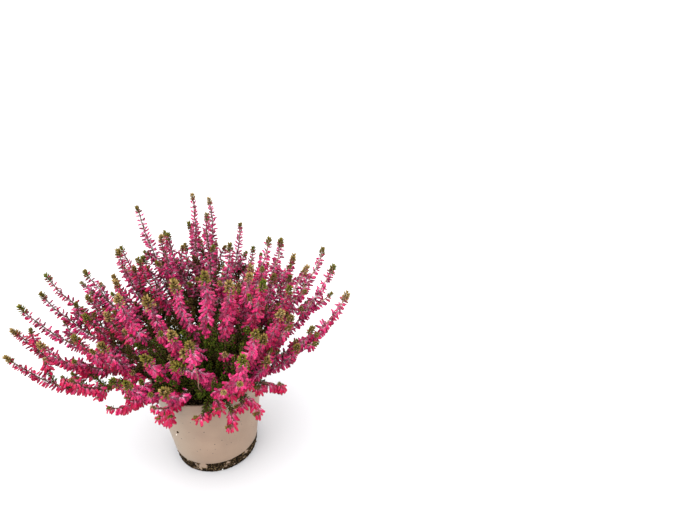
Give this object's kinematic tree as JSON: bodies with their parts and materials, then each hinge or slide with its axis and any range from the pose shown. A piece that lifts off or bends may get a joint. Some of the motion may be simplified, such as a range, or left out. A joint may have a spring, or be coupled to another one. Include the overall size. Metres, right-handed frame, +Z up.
{
  "type": "potted heather",
  "caption": "Winter heather in bloom in a round tapered nursery pot: arching sprays of small bell flowers over needle leaves, rooted in dark peat.",
  "frame": {"origin": "middle of the pot's underside, in the plane that the pot stands on", "axes": "+Z up out of the pot, +X to the viewer's right in the picture, +Y away from the viewer; the plant reaches furthest towards -X"},
  "size_m": [0.346, 0.2495, 0.2893],
  "materials": {
    "pot_plastic": "matte taupe moulded plastic with a few dark specks",
    "peat": "rough, damp, near-black peat",
    "flowers": "satin petals, crimson to rose pink, paler at the sepals",
    "leaves": "semi-matt needle leaves, dark green, olive at the shoot tips",
    "stems": "thin rough bark, tan pink to brown"
  },
  "bodies": {
    "root": {"pot": "pot_plastic", "peat": "peat", "spray_01": "flowers", "spray_02": "flowers", "spray_03": "flowers", "spray_04": "flowers", "spray_05": "flowers", "spray_06": "flowers", "spray_07": "flowers", "spray_08": "flowers", "spray_09": "flowers", "spray_10": "flowers", "spray_11": "flowers", "spray_12": "flowers", "spray_13": "flowers", "spray_14": "flowers", "spray_15": "flowers", "spray_16": "flowers", "spray_17": "flowers", "spray_18": "flowers", "spray_19": "flowers", "spray_20": "flowers", "spray_21": "flowers", "spray_22": "flowers", "spray_23": "flowers", "spray_24": "flowers", "spray_25": "flowers", "spray_26": "flowers", "spray_27": "flowers", "spray_28": "flowers", "spray_29": "flowers", "spray_30": "flowers", "spray_31": "flowers", "spray_32": "flowers", "spray_33": "flowers", "spray_34": "flowers", "spray_35": "flowers", "spray_36": "flowers", "spray_37": "flowers", "spray_38": "flowers", "spray_39": "flowers", "spray_40": "flowers", "spray_41": "flowers", "spray_42": "flowers", "spray_43": "flowers", "spray_44": "flowers", "spray_45": "flowers", "spray_46": "flowers", "leafy_shoot_1": "leaves", "leafy_shoot_2": "leaves", "leafy_shoot_3": "leaves", "leafy_shoot_4": "leaves", "leafy_shoot_5": "leaves", "leafy_shoot_6": "leaves", "leafy_shoot_7": "leaves", "leafy_shoot_8": "leaves"}
  },
  "joints": []
}
